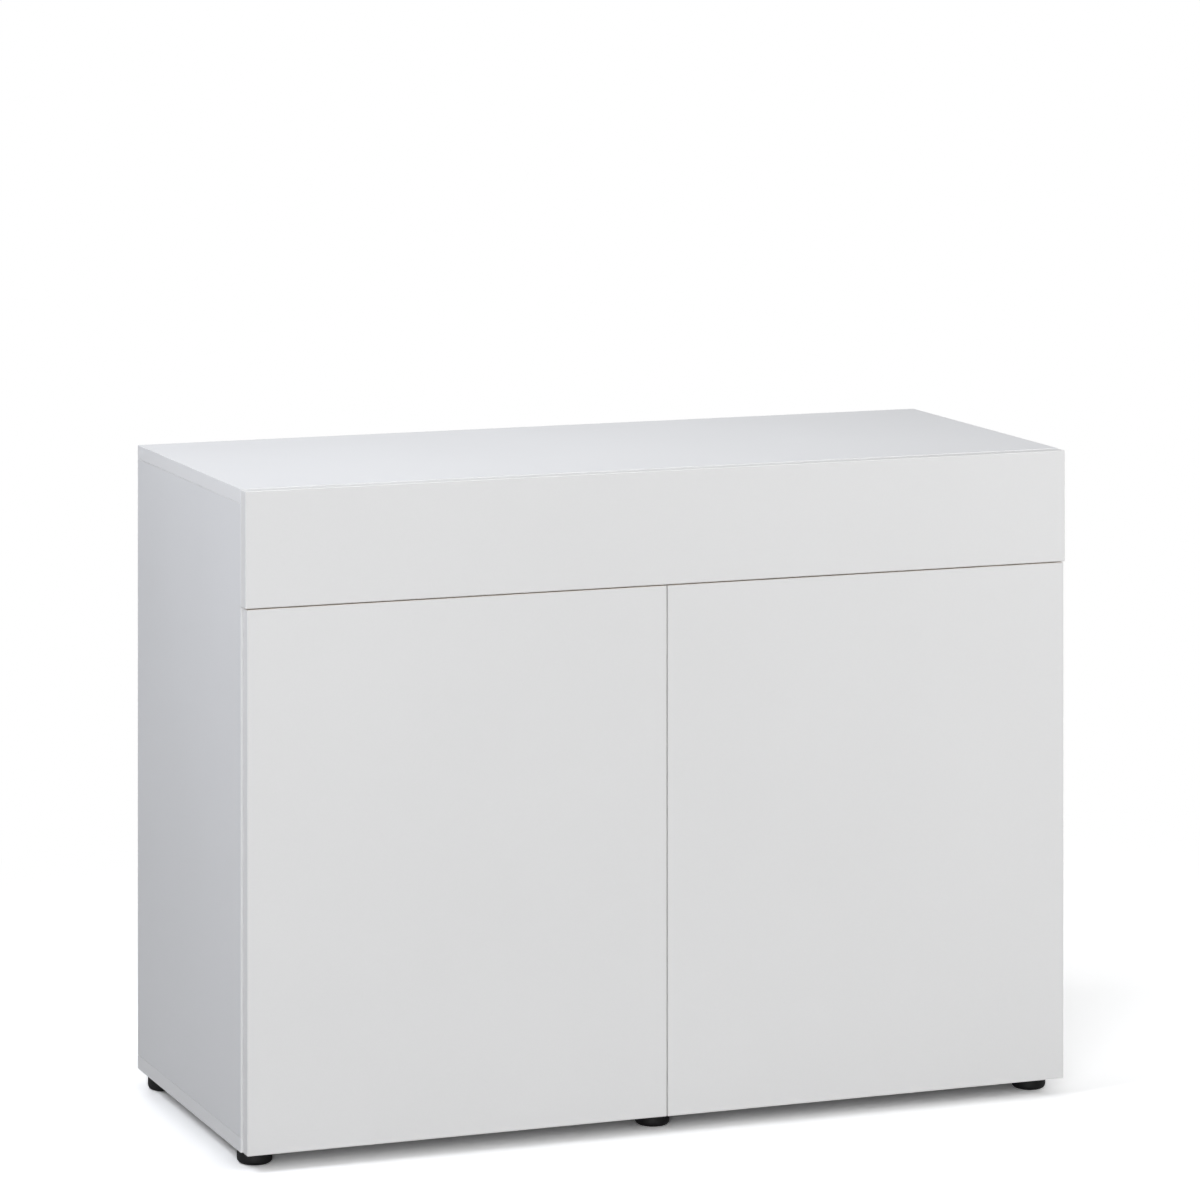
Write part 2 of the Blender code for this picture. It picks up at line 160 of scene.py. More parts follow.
def melamine(name, colour, edge_colour, gloss=0.36, slot_z=None):
    """White melamine-faced board with 1 mm edging. Each board carries its own box in custom properties, which place the
    edging. slot_z is the height of a narrow slot whose two edges get a painted warm tint: painted bounce light,
    standing in for the light that reaches them only off one another.
    """
    t = Tree(name)
    low = t.node("ShaderNodeAttribute", 1, {"attribute_type": "OBJECT", "attribute_name": "panel_low"})
    high = t.node("ShaderNodeAttribute", 1, {"attribute_type": "OBJECT", "attribute_name": "panel_high"})
    thick = t.node("ShaderNodeAttribute", 1, {"attribute_type": "OBJECT", "attribute_name": "panel_thin_axis"})
    gap = t.vec("MINIMUM", t.vec("SUBTRACT", t.place, low), t.vec("SUBTRACT", high, t.place))
    gap = t.vec("ADD", gap, thick)
    parts = t.node("ShaderNodeSeparateXYZ", 0, None, Vector=gap).node
    rim = t.math("MINIMUM", t.math("MINIMUM", parts.outputs[0], parts.outputs[1]), parts.outputs[2])
    wobble = t.math("MULTIPLY", t.math("SUBTRACT", t.noise(260.0, 2.0), 0.5), 0.00006)
    off = t.math("ABSOLUTE", t.math("SUBTRACT", t.math("ADD", rim, wobble), 0.0010))
    line = t.span(off, 0.00004, 0.00016, 1.0, 0.0)  # glue line between the face and its edging
    band = t.span(rim, 0.0008, 0.00095, 1.0, 0.0)  # the edging itself

    cloud = t.noise(2.3, 3.0, 0.55)
    paper = t.noise(520.0, 3.0, 0.6)
    grain = t.cells(1500.0)
    tone = t.span(cloud, 0.3, 0.7, -0.010, 0.010)
    tone = t.math("ADD", tone, t.span(paper, 0.3, 0.7, -0.006, 0.006))
    tone = t.math("ADD", t.math("MULTIPLY", t.math("SUBTRACT", grain, 0.35), 0.010), tone)
    base = t.mix(1.0, colour, t.node("ShaderNodeCombineColor", 0, None, Red=t.math("ADD", tone, 1.0), Green=t.math("ADD", tone, 1.0), Blue=t.math("ADD", tone, 1.0)), "MULTIPLY")
    edging = t.node("ShaderNodeAttribute", 2, {"attribute_type": "OBJECT", "attribute_name": "panel_edging"})
    edging = t.node("ShaderNodeCombineColor", 0, None, Red=edging, Green=edging, Blue=edging)
    base = t.mix(band, base, t.mix(1.0, edge_colour, edging, "MULTIPLY"))
    base = t.mix(t.math("MULTIPLY", line, 0.34), base, (0.40, 0.39, 0.37))
    # painted light: up- and down-facing faces within 2.5 mm of the slot get a warm tint, a painted bounce light inside
    # the slot
    if slot_z is not None:
        facing_z = t.math("ABSOLUTE", t.node("ShaderNodeSeparateXYZ", 2, None, Vector=t.node("ShaderNodeNewGeometry", 1)))
        height_z = t.node("ShaderNodeSeparateXYZ", 2, None, Vector=t.place)
        painted_bounce_mask = t.math("LESS_THAN", t.math("ABSOLUTE", t.math("SUBTRACT", height_z, slot_z)), 0.0025)
        base = t.mix(t.math("MULTIPLY", t.span(facing_z, 0.45, 0.9, 0.0, 1.0), painted_bounce_mask), base, (0.84, 0.785, 0.725))
    rough = t.span(t.noise(5.0, 4.0, 0.6), 0.3, 0.7, gloss - 0.035, gloss + 0.045)
    rough = t.math("ADD", rough, t.span(t.noise(900.0, 2.0), 0.3, 0.7, -0.03, 0.03))
    rough = t.math("ADD", rough, t.math("MULTIPLY", band, -0.05))
    matt = t.node("ShaderNodeAttribute", 2, {"attribute_type": "OBJECT", "attribute_name": "panel_matt"})
    rough = t.math("ADD", rough, t.math("MULTIPLY", matt, 0.16))
    shine = t.math("SUBTRACT", 0.42, t.math("MULTIPLY", matt, 0.24))
    fine = t.bump(t.noise(1500.0, 2.0, 0.6), 0.18, 0.00004)
    peel = t.bump(t.noise(330.0, 1.5, 0.45), 0.16, 0.00010, fine)
    sunk = t.bump(t.math("SUBTRACT", 1.0, line), 0.5, 0.00006, peel)
    return t.finish(Base_Color=base, Roughness=rough, Specular_IOR_Level=shine, Normal=sunk)


def moulded(name, colour, roughness, grain=1300.0, depth=0.00006, speck=0.25, scuff=0.0):
    """Moulded plastic with a fine eroded texture."""
    t = Tree(name)
    cell = t.cells(grain)
    mottled = t.noise(grain * 0.55, 3.0, 0.6)
    tone = t.math("ADD", 1.0, t.math("MULTIPLY", t.math("SUBTRACT", mottled, 0.5), speck))
    base = t.mix(1.0, colour, t.node("ShaderNodeCombineColor", 0, None, Red=tone, Green=tone, Blue=tone), "MULTIPLY")
    if scuff:
        rub = t.ramp(t.noise(55.0, 5.0, 0.7, t.stretched((1, 1, 4))), [(0.58, 0.0), (0.78, 1.0)])
        base = t.mix(t.math("MULTIPLY", rub, scuff), base, tuple(min(1.0, c + 0.05) for c in colour))
    rough = t.span(t.noise(70.0, 4.0, 0.6), 0.3, 0.7, roughness - 0.07, roughness + 0.07)
    height = t.math("ADD", t.math("MULTIPLY", cell, 0.8), t.math("MULTIPLY", mottled, 0.6))
    return t.finish(Base_Color=base, Roughness=rough, Specular_IOR_Level=0.4, Normal=t.bump(height, 0.55, depth))


def plated(name, colour, roughness, spangle=0.0, brush=(1, 1, 1), tint=(0.0, 0.0, 0.0)):
    """Plated steel: drawn or stamped, with faint scratches, and a zinc bloom where spangle is set."""
    t = Tree(name)
    bloom = t.cells(260.0, out=1)
    bloom_value = t.node("ShaderNodeSeparateColor", 0, None, Color=bloom)
    drawn = t.noise(900.0, 3.0, 0.7, t.stretched(brush))
    cloud = t.noise(35.0, 4.0, 0.6)
    tone = t.math("ADD", 1.0, t.math("MULTIPLY", t.math("SUBTRACT", bloom_value, 0.5), spangle))
    tone = t.math("ADD", tone, t.span(cloud, 0.3, 0.7, -0.06, 0.05))
    base = t.mix(1.0, colour, t.node("ShaderNodeCombineColor", 0, None, Red=tone, Green=tone, Blue=tone), "MULTIPLY")
    base = t.mix(t.span(t.noise(60.0, 2.0), 0.45, 0.75, 0.0, 0.35), base, tuple(c + d for c, d in zip(colour, tint)))
    rough = t.math("ADD", t.span(drawn, 0.25, 0.75, roughness - 0.07, roughness + 0.09), t.span(cloud, 0.3, 0.7, -0.04, 0.05))
    scratch = t.ramp(t.noise(420.0, 6.0, 0.8, t.stretched((1, 7, 1))), [(0.60, 0.0), (0.66, 1.0)])
    height = t.math("ADD", t.math("MULTIPLY", drawn, 0.5), t.math("MULTIPLY", scratch, 0.25))
    return t.finish(Base_Color=base, Metallic=1.0, Roughness=rough, Normal=t.bump(height, 0.22, 0.00003))


def soft_clear(name):
    t = Tree(name)
    haze = t.noise(500.0, 2.0)
    return t.finish(
        Base_Color=(0.88, 0.89, 0.89), Roughness=t.span(haze, 0.3, 0.7, 0.16, 0.26), Transmission_Weight=0.55, IOR=1.46,
        Subsurface_Weight=0.1, Normal=t.bump(haze, 0.1, 0.00003),
    )


def lacquered_hardboard(name):
    """Thin white-lacquered fibreboard: a fine screen-like tooth under the paint."""
    t = Tree(name)
    fibre = t.noise(900.0, 4.0, 0.7, t.stretched((1.0, 1.0, 0.55)))
    tooth = t.cells(620.0)
    cloud = t.noise(3.0, 3.0)
    tone = t.math("ADD", 1.0, t.math("ADD", t.span(fibre, 0.3, 0.7, -0.02, 0.02), t.span(cloud, 0.3, 0.7, -0.015, 0.015)))
    base = t.mix(1.0, (0.762, 0.766, 0.771), t.node("ShaderNodeCombineColor", 0, None, Red=tone, Green=tone, Blue=tone), "MULTIPLY")
    rough = t.span(t.noise(20.0, 4.0), 0.3, 0.7, 0.5, 0.62)
    height = t.math("ADD", t.math("MULTIPLY", tooth, 0.7), fibre)
    return t.finish(Base_Color=base, Roughness=rough, Specular_IOR_Level=0.35, Normal=t.bump(height, 0.3, 0.00008))


SLOT_Z = (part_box("fascia_panel")[0].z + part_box("door_left")[1].z) / 2
FRONT_WHITE = melamine("front_white", (0.795, 0.795, 0.795), (0.80, 0.80, 0.797), 0.43, SLOT_Z)
BODY_WHITE = melamine("body_white", (0.783, 0.788, 0.801), (0.793, 0.795, 0.803), 0.45)
BACK_WHITE = lacquered_hardboard("back_white")
BLACK = moulded("moulded_black", (0.0125, 0.0125, 0.0135), 0.52, 1400.0, 0.00005, 0.5, 0.12)
GREY = moulded("moulded_grey", (0.42, 0.43, 0.44), 0.45, 1200.0, 0.00004, 0.06)
CAP_WHITE = moulded("cap_white", (0.76, 0.76, 0.75), 0.34, 1500.0, 0.00002, 0.02)
ZINC = plated("zinc_steel_finish", (0.60, 0.61, 0.62), 0.30, 0.10, (1, 1, 1), (0.03, 0.02, -0.04))
NICKEL = plated("nickel_steel_finish", (0.66, 0.64, 0.60), 0.24, 0.0, (1, 1, 9))
SCREW_STEEL = plated("screw_steel_finish", (0.56, 0.56, 0.55), 0.27, 0.05, (1, 1, 1), (0.02, 0.01, -0.03))
CLEAR = soft_clear("clear_buffer")

BY_SLOT = {
    "white_front": FRONT_WHITE, "white_board": BODY_WHITE, "white_back": BACK_WHITE, "black_plastic": BLACK,
    "zinc_steel": ZINC, "nickel_steel": NICKEL, "grey_plastic": GREY, "clear_soft_plastic": CLEAR,
}

# ------------------------------------------------------------------ finish of the CAD nodes


def tidy_group():
    """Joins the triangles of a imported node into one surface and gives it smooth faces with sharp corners, without touching its shape."""
    group = bpy.data.node_groups.new("tidy", "GeometryNodeTree")
    group.interface.new_socket("Geometry", in_out="INPUT", socket_type="NodeSocketGeometry")
    group.interface.new_socket("Geometry", in_out="OUTPUT", socket_type="NodeSocketGeometry")
    start = group.nodes.new("NodeGroupInput")
    end = group.nodes.new("NodeGroupOutput")
    merge = group.nodes.new("GeometryNodeMergeByDistance")
    merge.inputs["Distance"].default_value = 0.000004
    angle = group.nodes.new("GeometryNodeInputMeshEdgeAngle")
    sharp = group.nodes.new("FunctionNodeCompare")
    sharp.data_type = "FLOAT"
    sharp.operation = "GREATER_THAN"
    sharp.inputs[1].default_value = math.radians(31)
    normals = group.nodes.new("GeometryNodeSetMeshNormal")
    normals.mode = "SHARPNESS"
    normals.inputs["Remove Custom"].default_value = True
    normals.inputs["Face Sharpness"].default_value = False
    link = group.links.new
    link(start.outputs[0], merge.inputs["Geometry"])
    link(merge.outputs[0], normals.inputs["Mesh"])
    link(angle.outputs[0], sharp.inputs[0])
    link(sharp.outputs[0], normals.inputs["Edge Sharpness"])
    link(normals.outputs[0], end.inputs[0])
    return group


TIDY = tidy_group()


def soften(obj, width, segments=3, angle=32.0):
    tidy = obj.modifiers.new("Tidy", "NODES")
    tidy.node_group = TIDY
    flat = obj.modifiers.new("Flat", "DECIMATE")
    flat.decimate_type = "DISSOLVE"
    flat.angle_limit = math.radians(0.6)
    if width:
        rounding = obj.modifiers.new("Edges", "BEVEL")
        rounding.width = width
        rounding.segments = segments
        rounding.limit_method = "ANGLE"
        rounding.angle_limit = math.radians(angle)
        rounding.harden_normals = True
        rounding.use_clamp_overlap = True
        rounding.miter_outer = "MITER_ARC"


slot_of = {p["node"]: p["material_slot"] for p in frame["record"]["subparts"]}
EASED = {"white_front": 0.0009, "white_board": 0.00045, "white_back": 0.0003, "grey_plastic": 0.0005, "zinc_steel": 0.00015, "nickel_steel": 0.0002, "black_plastic": 0.0003, "clear_soft_plastic": 0.0}
for name, obj in nodes.items():
    chosen = BY_SLOT[slot_of[name]]
    if not obj.material_slots:
        obj.data.materials.append(chosen)
    for s in obj.material_slots:
        s.material = chosen
    low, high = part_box(name)
    size = high - low
    if slot_of[name] in ("white_front", "white_board"):
        thin = min(range(3), key=lambda k: size[k])
        obj["panel_low"] = [float(v) for v in low]
        obj["panel_high"] = [float(v) for v in high]
        obj["panel_thin_axis"] = [1.0 if k == thin else 0.0 for k in range(3)]
        obj["panel_edging"] = 1.055 if name == "bottom_board" else 1.0  # its edging is from a lighter batch
        obj["panel_matt"] = 1.0 if name == "top_board" else 0.0  # the surface that the tank rests on is duller
    soften(obj, EASED[slot_of[name]], 4 if slot_of[name] == "white_front" else 3)

# ------------------------------------------------------------------ small fittings

FRONT_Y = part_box("side_panel_left")[0].y / MM  # plane of the carcass front, in millimetres
REAR_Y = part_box("side_panel_left")[1].y / MM
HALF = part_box("side_panel_right")[1].x / MM
BOARD = 16.0
BOTTOM_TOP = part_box("bottom_board")[1].z / MM
TOP_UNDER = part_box("top_board")[0].z / MM


def solid(points, low, high, axis="Z"):
    """A closed outline in two axes, extruded along the third, in millimetres."""
    made = bmesh.new()
    order = {"Z": lambda a, b, c: (a, b, c), "Y": lambda a, b, c: (a, c, b), "X": lambda a, b, c: (c, a, b)}[axis]
    face = made.faces.new([made.verts.new(order(a, b, low)) for a, b in points])
    grown = bmesh.ops.extrude_face_region(made, geom=[face])["geom"]
    bmesh.ops.translate(made, verts=[v for v in grown if isinstance(v, bmesh.types.BMVert)], vec=order(0, 0, high - low))
    bmesh.ops.recalc_face_normals(made, faces=made.faces)
    return made


def turned(profile, steps, ring=False):
    """A turned solid about Z from (radius, height) pairs, in millimetres."""
    made = bmesh.new()
    rows = []
    for radius, height in profile:
        if radius == 0:
            rows.append([made.verts.new((0, 0, height))])
            continue
        rows.append([
            made.verts.new((radius * math.cos(2 * math.pi * i / steps), radius * math.sin(2 * math.pi * i / steps), height))
            for i in range(steps)
        ])
    pairs = list(zip(rows, rows[1:] + rows[:1])) if ring else list(zip(rows, rows[1:]))
    for low_row, high_row in pairs:
        for i in range(steps):
            j = (i + 1) % steps
            corners = [low_row[i % len(low_row)], low_row[j % len(low_row)], high_row[j % len(high_row)], high_row[i % len(high_row)]]
            unique = list(dict.fromkeys(corners))
            if len(unique) > 2:
                made.faces.new(unique)
    bmesh.ops.recalc_face_normals(made, faces=made.faces)
    return made


def box_mesh(x, y, z):
    made = bmesh.new()
    found = bmesh.ops.create_cube(made, size=1.0)["verts"]
    bmesh.ops.scale(made, verts=found, vec=(x[1] - x[0], y[1] - y[0], z[1] - z[0]))
    bmesh.ops.translate(made, verts=found, vec=((x[0] + x[1]) / 2, (y[0] + y[1]) / 2, (z[0] + z[1]) / 2))
    return made


def to_mesh(made, name="helper"):
    mesh = bpy.data.meshes.new(name)
    made.to_mesh(mesh)
    made.free()
    return mesh


def cut(body, cutters, operation="DIFFERENCE"):
    """Boolean of bmeshes, done at once; returns a bmesh."""
    base = bpy.data.objects.new("tmp_base", to_mesh(body))
    bpy.context.scene.collection.objects.link(base)
    others = []
    for index, cutter in enumerate(cutters):
        other = bpy.data.objects.new(f"tmp_cut_{index}", to_mesh(cutter))
        bpy.context.scene.collection.objects.link(other)
        others.append(other)
        modifier = base.modifiers.new("b", "BOOLEAN")
        modifier.operation = operation
        modifier.solver = "EXACT"
        modifier.object = other
    graph = bpy.context.evaluated_depsgraph_get()
    graph.update()
    result = bmesh.new()
    result.from_mesh(base.evaluated_get(graph).to_mesh())
    for other in others + [base]:
        bpy.data.objects.remove(other, do_unlink=True)
    return result


def facing(at, outward, spin=0.0):
    """Places a shape whose +Z is its outward side, in millimetres."""
    turn = Vector(outward).to_track_quat("Z", "Y").to_matrix().to_4x4()
    return Matrix.Translation(Vector(at)) @ turn @ Matrix.Rotation(math.radians(spin), 4, "Z")


def fitting(name, shapes, material, body, width=0.0, angle=32.0):
    """One object made of (mesh, matrix) copies, in world millimetres, that rides on a CAD body."""
    made = bmesh.new()
    for mesh, matrix in shapes:
        part = bmesh.new()
        part.from_mesh(mesh)
        part.transform(matrix)
        if matrix.determinant() < 0:
            bmesh.ops.reverse_faces(part, faces=part.faces)
        copy = to_mesh(part)
        made.from_mesh(copy)
        bpy.data.meshes.remove(copy)
    bmesh.ops.scale(made, verts=made.verts, vec=(MM, MM, MM))
    mesh = to_mesh(made, name)
    mesh.materials.append(material)
    mesh.shade_smooth()
    mesh.set_sharp_from_angle(angle=math.radians(angle))
    obj = bpy.data.objects.new(name, mesh)
    bpy.context.scene.collection.objects.link(obj)
    if width:
        rounding = obj.modifiers.new("Edges", "BEVEL")
        rounding.width = width
        rounding.segments = 2
        rounding.limit_method = "ANGLE"
        rounding.angle_limit = math.radians(40)
        rounding.harden_normals = True
    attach(obj, body)
    return obj


def cross_recess(size, depth):
    """Cutters for a cross recess with tapered wings, sunk from z = 0 down."""
    cutters = []
    for turn in (0, 90):
        wing = bmesh.new()
        a, b, w = size / 2, size / 4, size * 0.13
        top = [wing.verts.new(p) for p in ((-a, -w, 0.5), (a, -w, 0.5), (a, w, 0.5), (-a, w, 0.5))]
        low_ring = [wing.verts.new(p) for p in ((-b, -w * 0.7, -depth), (b, -w * 0.7, -depth), (b, w * 0.7, -depth), (-b, w * 0.7, -depth))]
        wing.faces.new(top)
        wing.faces.new(low_ring[::-1])
        for i in range(4):
            j = (i + 1) % 4
            wing.faces.new((top[j], top[i], low_ring[i], low_ring[j]))
        bmesh.ops.recalc_face_normals(wing, faces=wing.faces)
        bmesh.ops.rotate(wing, verts=wing.verts, cent=(0, 0, 0), matrix=Matrix.Rotation(math.radians(turn), 3, "Z"))
        cutters.append(wing)
    return cutters


def screw_head(radius, height, recess):
    dome = turned(
        [(0, 0), (radius * 0.96, 0), (radius, height * 0.14), (radius * 0.985, height * 0.42), (radius * 0.88, height * 0.74), (radius * 0.62, height * 0.94), (radius * 0.3, height), (0, height)],
        28,
    )
    cutters = cross_recess(recess, height * 0.75)
    for c in cutters:
        bmesh.ops.translate(c, verts=c.verts, vec=(0, 0, height - 0.25))
    return to_mesh(cut(dome, cutters), "screw_head")


PAN = screw_head(3.7, 2.1, 3.4)
SMALL_PAN = screw_head(2.7, 1.5, 2.5)
FLAT = screw_head(3.3, 0.7, 3.0)

# hinges: screws and adjusters
for side, s in (("left", -1), ("right", 1)):
    door_body = f"door_{side}"
    for where in ("lower", "upper"):
        cup_low, cup_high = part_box(f"hinge_cup_{side}_{where}")
        plate_low, plate_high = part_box(f"mounting_plate_{side}_{where}")
        arm_low, arm_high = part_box(f"hinge_arm_{side}_{where}")
        z = (plate_low.z + plate_high.z) / 2 / MM
        inward = (-s, 0, 0)
        plate_x = (plate_high.x if s < 0 else plate_low.x) / MM
        screws = [(PAN, facing((plate_x, FRONT_Y + 37.0, z + dz), inward, 20 + dz)) for dz in (-16.0, 16.0)]
        fitting(f"plate_screws_{side}_{where}", screws, SCREW_STEEL, "cabinet")
        arm_x = (arm_high.x if s < 0 else arm_low.x) / MM
        fitting(
            f"arm_screws_{side}_{where}",
            [(SMALL_PAN, facing((arm_x, FRONT_Y + 24.0, z), inward, 35)), (PAN, facing((arm_x, FRONT_Y + 50.0, z), inward, -15))],
            SCREW_STEEL, "cabinet",
        )
        cup_x = s * (HALF - 22.5)
        flange_y = cup_high.y / MM
        fitting(
            f"cup_screws_{side}_{where}",
            [(PAN, facing((s * (HALF - 28.5), flange_y, z + dz), (0, 1, 0), 10 * dz)) for dz in (-25.0, 25.0)],
            SCREW_STEEL, door_body,
        )
        # raised rims that stiffen the pressed arm
        ribs = []
        for dz in (-5.4, 5.4):
            rib = solid([(FRONT_Y + 9.0, dz - 0.5 + z), (FRONT_Y + 63.0, dz - 0.5 + z), (FRONT_Y + 63.0, dz + 0.5 + z), (FRONT_Y + 9.0, dz + 0.5 + z)], 0, 0.9, "X")
            mesh = to_mesh(rib)
            ribs.append((mesh, Matrix.Translation((arm_x - (0.9 if s > 0 else 0.0), 0, 0))))
        fitting(f"arm_ribs_{side}_{where}", ribs, NICKEL, "cabinet", 0.0002)

# touch latches: screws
for side, s in (("left", -1), ("right", 1)):
    low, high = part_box(f"latch_body_{side}")
    z = (low.z + high.z) / 2 / MM
    base_x = s * (8.2 + 2.2)
    fitting(
        f"latch_screws_{side}",
        [(SMALL_PAN, facing((base_x, FRONT_Y + dy, z + dz), (s, 0, 0), 12 * dz)) for dy in (12.0, 60.0) for dz in (-11.4, 11.4)],
        SCREW_STEEL, "cabinet",
    )

# white caps over the connecting fittings inside the compartments
cap = to_mesh(turned([(0, 0), (8.6, 0), (8.75, 0.25), (8.4, 0.75), (6.8, 1.1), (2.0, 1.25), (0, 1.25)], 40), "cap")
caps = []
for z in (BOTTOM_TOP + 34.0, TOP_UNDER - 34.0):
    for y in (FRONT_Y + 120.0, REAR_Y - 52.0):
        for x, out in ((-HALF + BOARD, 1), (-BOARD / 2, -1), (BOARD / 2, 1), (HALF - BOARD, -1)):
            caps.append((cap, facing((x, y, z), (out, 0, 0))))
fitting("fitting_caps", caps, CAP_WHITE, "cabinet")

# countersunk screws that hold the fascia to the rails behind it
heads = []
for name in ("front_rail_left", "front_rail_right"):
    low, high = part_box(name)
    for share in (0.12, 0.5, 0.88):
        x = (low.x + (high.x - low.x) * share) / MM
        for z in (low.z / MM + 38.0, high.z / MM - 32.0):
            heads.append((FLAT, facing((x, high.y / MM - 0.1, z), (0, 1, 0), 50 * share)))
fitting("fascia_screws", heads, SCREW_STEEL, "cabinet")

# feet: threaded stems, and the flanges of the insert nuts under the bottom board


def thread(radius, root, pitch, low_z, high_z, steps=20):
    """A helical ridge."""
    made = bmesh.new()
    rows = []
    total = int((high_z - low_z) / pitch * steps)
    for k in range(total + 1):
        angle = 2 * math.pi * k / steps
        z = low_z + pitch * k / steps
        fade = min(1.0, k / 6, (total - k) / 6)
        tip = root + (radius - root) * max(0.05, fade)
        rows.append([
            made.verts.new((r * math.cos(angle), r * math.sin(angle), z + dz))
            for r, dz in ((root, -pitch * 0.40), (tip, -pitch * 0.08), (tip, pitch * 0.08), (root, pitch * 0.40))
        ])
    for a_row, b_row in zip(rows, rows[1:]):
        for i in range(4):
            j = (i + 1) % 4
            made.faces.new((a_row[i], a_row[j], b_row[j], b_row[i]))
    made.faces.new(rows[0][::-1])
    made.faces.new(rows[-1])
    bmesh.ops.recalc_face_normals(made, faces=made.faces)
    return made


flange = to_mesh(turned([(4.6, 0.0), (10.6, 0.0), (11.0, 0.1), (11.0, 0.26), (4.6, 0.26)], 36, ring=True), "flange")
helix = to_mesh(thread(4.34, 3.9, 1.25, 13.9, 28.0), "helix")
for name in nodes:
    if not name.startswith("foot_socket"):
        continue
    key = name.replace("foot_socket_", "")
    low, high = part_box(name)
    at = Vector(((low.x + high.x) / 2 / MM, (low.y + high.y) / 2 / MM, 0))
    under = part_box("bottom_board")[0].z / MM
    fitting(f"nut_flange_{key}", [(flange, Matrix.Translation((at.x, at.y, under - 0.27)))], ZINC, "cabinet")
    fitting(f"foot_thread_{key}", [(helix, Matrix.Translation(at))], ZINC, f"foot_{key}", angle=60.0)

# ------------------------------------------------------------------ light, floor and camera


FLOOR_BOUNCE = 0.37
FLOOR_SHOWN = 1.35
BACKDROP = 1.0
ROOM = {"even": 0.10, "above": 0.20, "front": 0.0, "right": 0.07, "left": 0.0, "back": 0.05}
LAMPS = {
    "camera_side": ((-2.4, -5.0, 1.7), (-0.2, 0, 0.4), (2.4, 2.4), 152.5),
    "right_near": ((2.2, -1.8, 1.6), (0.4, -0.2, 0.6), (1.2, 1.2), 33.0),
    "side_high": ((-1.8, -0.32, 1.9), (-0.5, -0.08, 0.65), (0.9, 0.9), 20.3),
    "rear_low": ((0.7, 3.2, 0.9), (0.1, 0, 0.45), (2.2, 1.2), 47.0),
    "overhead": ((0.0, 0.02, 2.0), (0.0, 0.02, 0.0), (0.8, 0.3), 5.5),
}


def floor_material():
    """Pale matt studio floor, lit until it shows almost white. Less light bounces off it than it shows, as where dark flags stand round the set."""
    t = Tree("pale_floor")
    wave = t.noise(1.5, 3.0)
    shaders = []
    for level in (FLOOR_BOUNCE, FLOOR_SHOWN):
        tone = t.span(wave, 0.3, 0.7, level * 0.99, level * 1.01)
        paper = t.tree.nodes.new("ShaderNodeBsdfDiffuse")
        t.put(paper.inputs["Color"], t.node("ShaderNodeCombineColor", 0, None, Red=tone, Green=tone, Blue=tone))
        shaders.append(paper.outputs[0])
    # away from the cabinet the floor sweeps up into an evenly lit white
    low, high = CAD_BOX
    middle, half = (low + high) / 2, (high - low) / 2
    away = t.vec("SUBTRACT", t.vec("ABSOLUTE", t.vec("SUBTRACT", t.place, (middle.x, middle.y, 0.0))), (half.x, half.y, 0.0))
    away = t.vec("LENGTH", t.vec("MULTIPLY", t.vec("MAXIMUM", away, (0.0, 0.0, 0.0)), (1.0, 1.0, 0.0)), out=1)
    fade = t.node("ShaderNodeMapRange", 0, {"interpolation_type": "SMOOTHERSTEP"}, i0=away, i1=0.10, i2=1.25, i3=0.0, i4=1.0)
    glow = t.tree.nodes.new("ShaderNodeEmission")
    glow.inputs["Strength"].default_value = BACKDROP
    swept = t.tree.nodes.new("ShaderNodeMixShader")
    t.tree.links.new(fade, swept.inputs[0])
    t.tree.links.new(shaders[1], swept.inputs[1])
    t.tree.links.new(glow.outputs[0], swept.inputs[2])
    shaders[1] = swept.outputs[0]
    pick = t.tree.nodes.new("ShaderNodeMixShader")
    t.tree.links.new(t.tree.nodes.new("ShaderNodeLightPath").outputs["Is Camera Ray"], pick.inputs[0])
    t.tree.links.new(shaders[0], pick.inputs[1])
    t.tree.links.new(shaders[1], pick.inputs[2])
    t.tree.links.new(pick.outputs[0], t.out.inputs[0])
    t.tree.nodes.remove(t.shader)
    return t.mat


bm = bmesh.new()
bmesh.ops.create_grid(bm, x_segments=2, y_segments=2, size=40.0)
mesh = bpy.data.meshes.new("floor")
bm.to_mesh(mesh)
bm.free()
floor = bpy.data.objects.new("floor", mesh)
bpy.context.scene.collection.objects.link(floor)
mesh.materials.append(floor_material())
floor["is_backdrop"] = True
# The floor lies under the lowest foot, so a foot that is screwed out still stands on it.
settle = floor.driver_add("location", 2).driver
settle.type = "SCRIPTED"
letters = []
for name in sorted(n for n in nodes if n.startswith("foot_") and not n.startswith("foot_socket")):
    var = settle.variables.new()
    var.name = "abcdefgh"[len(letters)]
    var.type = "TRANSFORMS"
    var.targets[0].id = nodes[name]
    var.targets[0].transform_type = "LOC_Z"
    var.targets[0].transform_space = "WORLD_SPACE"
    letters.append(var.name)
settle.expression = "min(0.0, " + ", ".join(letters) + ")"

world = bpy.data.worlds.new("studio")
bpy.context.scene.world = world
world.use_nodes = True
wt = world.node_tree
wt.nodes.clear()


def world_node(kind, **inputs):
    made = wt.nodes.new(kind)
    operation = inputs.pop("operation", None)
    if operation:
        made.operation = operation
    for key, value in inputs.items():
        socket = made.inputs[int(key[1:])]
        if hasattr(value, "is_output"):
            wt.links.new(value, socket)
        else:
            socket.default_value = value
    return made


